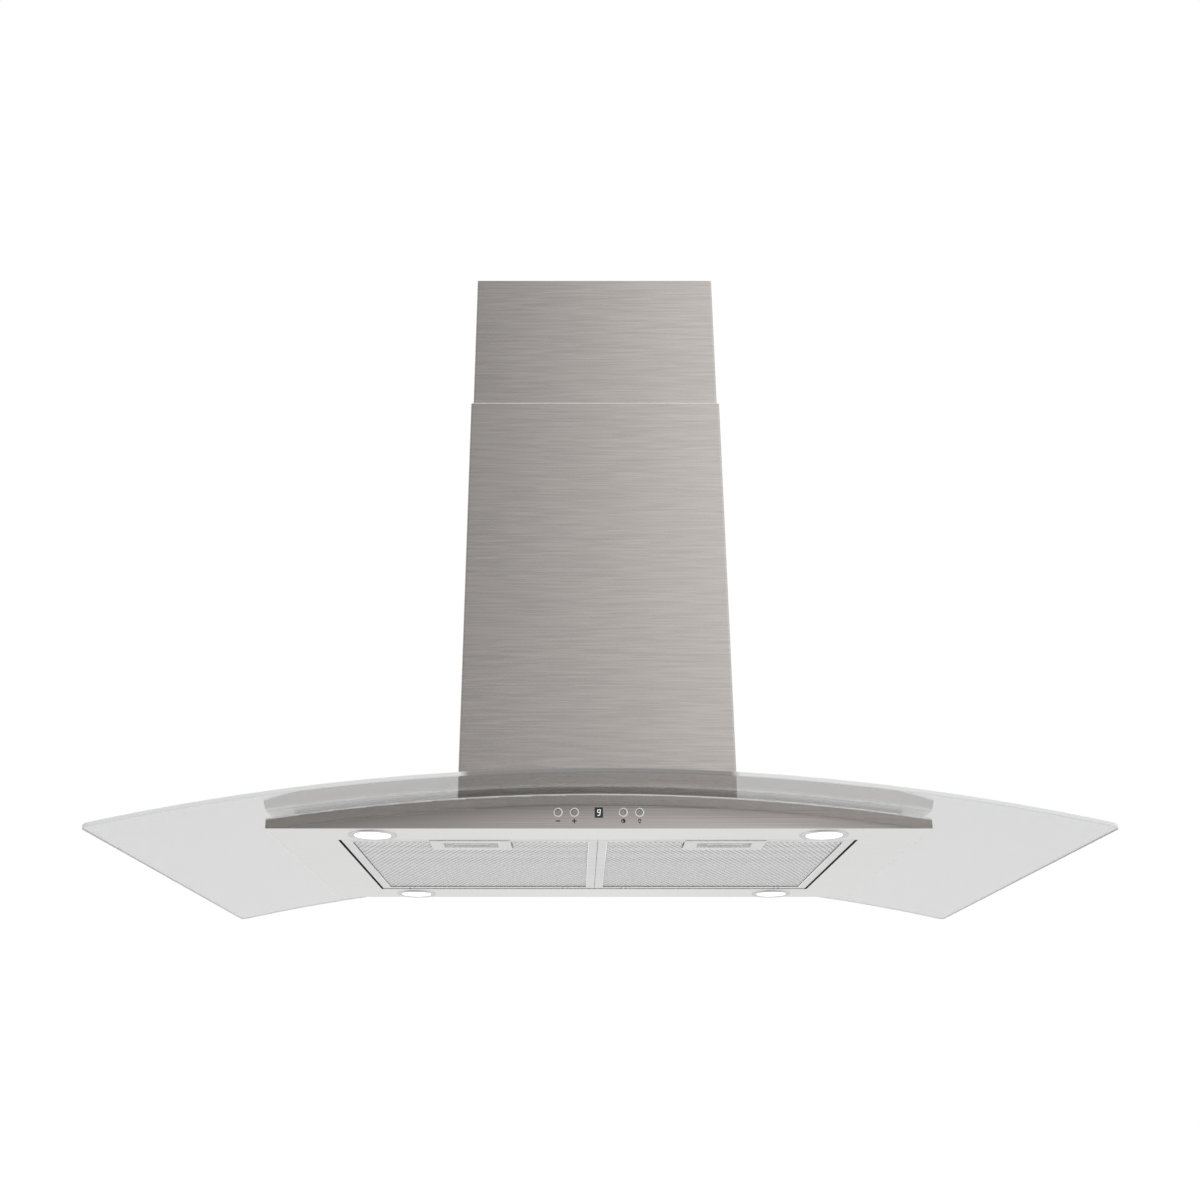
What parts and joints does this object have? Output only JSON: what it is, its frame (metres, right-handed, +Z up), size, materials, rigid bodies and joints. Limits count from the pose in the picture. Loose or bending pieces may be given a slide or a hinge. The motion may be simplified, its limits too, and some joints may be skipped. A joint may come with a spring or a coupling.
{
  "type": "curved glass range hood",
  "caption": "Ceiling-hung range hood: square steel chimney, arched clear glass canopy, shallow body with push buttons, round lamps and drop-down mesh filters.",
  "frame": {"origin": "centre of the ceiling plate's bolt pattern, on the ceiling", "axes": "+Z up, +X to the right seen from the button side, +Y away from the button side"},
  "size_m": [0.9, 0.579, 0.6634],
  "materials": {
    "brushed_stainless": "stainless sheet, fine brushed grain",
    "zinc_sheet": "zinc-coated steel sheet",
    "black_rubber": "moulded rubber",
    "canopy_glass": "clear toughened glass, polished edges",
    "lamp_trim": "satin nickel",
    "lamp_diffuser": "frosted white lens",
    "black_plastic": "moulded plastic",
    "circuit_board": "green board",
    "display_black": "smoked black window",
    "chrome_trim": "bright chrome",
    "button_steel": "satin chromed cap",
    "filter_aluminium": "pressed sheet, satin",
    "filter_mesh": "expanded aluminium mesh in layers",
    "catch_metal": "satin",
    "spring_steel": "bright steel",
    "impeller_plastic": "light moulded plastic",
    "motor_paint": "dark enamel",
    "flap_plastic": "moulded plastic",
    "gland_plastic": "moulded plastic",
    "zinc_fasteners": "bright zinc"
  },
  "bodies": {
    "hood": {"front_fascia": "brushed_stainless", "rear_fascia": "brushed_stainless", "base_pan": "brushed_stainless", "lower_chimney_cover": "brushed_stainless", "top_deck": "zinc_sheet", "hanger_frame": "zinc_sheet", "blower_box": "zinc_sheet", "ceiling_plate": "zinc_sheet", "tower_brace": "zinc_sheet", "lower_uprights": "zinc_sheet", "upper_uprights": "zinc_sheet", "cover_brackets": "zinc_sheet", "motor_bracket": "zinc_sheet", "perimeter_seal": "black_rubber", "throat_seal": "black_rubber", "upper_gasket": "black_rubber", "glass_canopy": "canopy_glass", "lamp_housing_front_left": "lamp_trim", "lamp_lens_front_left": "lamp_diffuser", "lamp_housing_front_right": "lamp_trim", "lamp_lens_front_right": "lamp_diffuser", "lamp_housing_rear_left": "lamp_trim", "lamp_lens_rear_left": "lamp_diffuser", "lamp_housing_rear_right": "lamp_trim", "lamp_lens_rear_right": "lamp_diffuser", "control_carrier": "black_plastic", "control_board": "circuit_board", "display_window": "display_black", "button_rings": "chrome_trim", "filter_keeper_left": "spring_steel", "scroll_left": "black_plastic", "filter_keeper_right": "spring_steel", "scroll_right": "black_plastic", "motor_shell": "motor_paint", "duct_collar": "black_plastic", "damper_pin": "spring_steel", "wiring_box": "black_plastic", "wiring_lid": "black_plastic", "cable_gland": "gland_plastic", "clamp_bolts": "zinc_fasteners", "chimney_screws": "zinc_fasteners"},
    "upper_cover": {"upper_chimney_cover": "brushed_stainless"},
    "minus_button": {"button_minus": "button_steel"},
    "plus_button": {"button_plus": "button_steel"},
    "timer_button": {"button_timer": "button_steel"},
    "lamp_button": {"button_lamp": "button_steel"},
    "left_filter": {"filter_frame_left": "filter_aluminium", "filter_mesh_left": "filter_mesh", "catch_plate_left": "filter_aluminium", "catch_spring_left": "spring_steel"},
    "right_filter": {"filter_frame_right": "filter_aluminium", "filter_mesh_right": "filter_mesh", "catch_plate_right": "filter_aluminium", "catch_spring_right": "spring_steel"},
    "left_catch": {"catch_slide_left": "catch_metal"},
    "right_catch": {"catch_slide_right": "catch_metal"},
    "blower_wheel": {"impeller": "impeller_plastic", "motor_shaft": "spring_steel"},
    "front_flap": {"damper_flap_front": "flap_plastic"},
    "rear_flap": {"damper_flap_rear": "flap_plastic"}
  },
  "joints": [
    {"name": "upper_cover_slide", "type": "slide", "parent": "hood", "child": "upper_cover", "axis": [0, 0, 1], "range_m": [-0.16, 0]},
    {"name": "minus_button_press", "type": "slide", "parent": "hood", "child": "minus_button", "axis": [0, 1, 0], "range_m": [0, 0.0012], "stiffness_N_per_m": 300, "springref_m": -0.003},
    {"name": "plus_button_press", "type": "slide", "parent": "hood", "child": "plus_button", "axis": [0, 1, 0], "range_m": [0, 0.0012], "stiffness_N_per_m": 300, "springref_m": -0.003},
    {"name": "timer_button_press", "type": "slide", "parent": "hood", "child": "timer_button", "axis": [0, 1, 0], "range_m": [0, 0.0012], "stiffness_N_per_m": 300, "springref_m": -0.003},
    {"name": "lamp_button_press", "type": "slide", "parent": "hood", "child": "lamp_button", "axis": [0, 1, 0], "range_m": [0, 0.0012], "stiffness_N_per_m": 300, "springref_m": -0.003},
    {"name": "left_filter_drop", "type": "hinge", "parent": "hood", "child": "left_filter", "pos_m": [0, 0.14, -0.6469], "axis": [1, 0, 0], "range_deg": [0, 75], "deforming": ["filter_keeper_left"]},
    {"name": "left_catch_pull", "type": "slide", "parent": "left_filter", "child": "left_catch", "axis": [0, 1, 0], "range_m": [0, 0.0045], "stiffness_N_per_m": 200, "springref_m": -0.01, "deforming": ["catch_spring_left"]},
    {"name": "right_filter_drop", "type": "hinge", "parent": "hood", "child": "right_filter", "pos_m": [0, 0.14, -0.6469], "axis": [1, 0, 0], "range_deg": [0, 75], "deforming": ["filter_keeper_right"]},
    {"name": "right_catch_pull", "type": "slide", "parent": "right_filter", "child": "right_catch", "axis": [0, 1, 0], "range_m": [0, 0.0045], "stiffness_N_per_m": 200, "springref_m": -0.01, "deforming": ["catch_spring_right"]},
    {"name": "blower_spin", "type": "hinge", "parent": "hood", "child": "blower_wheel", "pos_m": [0, -0.008, -0.507], "axis": [1, 0, 0], "continuous": true},
    {"name": "front_flap_open", "type": "hinge", "parent": "hood", "child": "front_flap", "pos_m": [0, 0.02, -0.384], "axis": [-1, 0, 0], "range_deg": [0, 78]},
    {"name": "rear_flap_open", "type": "hinge", "parent": "hood", "child": "rear_flap", "pos_m": [0, 0.02, -0.384], "axis": [1, 0, 0], "range_deg": [0, 78]}
  ]
}
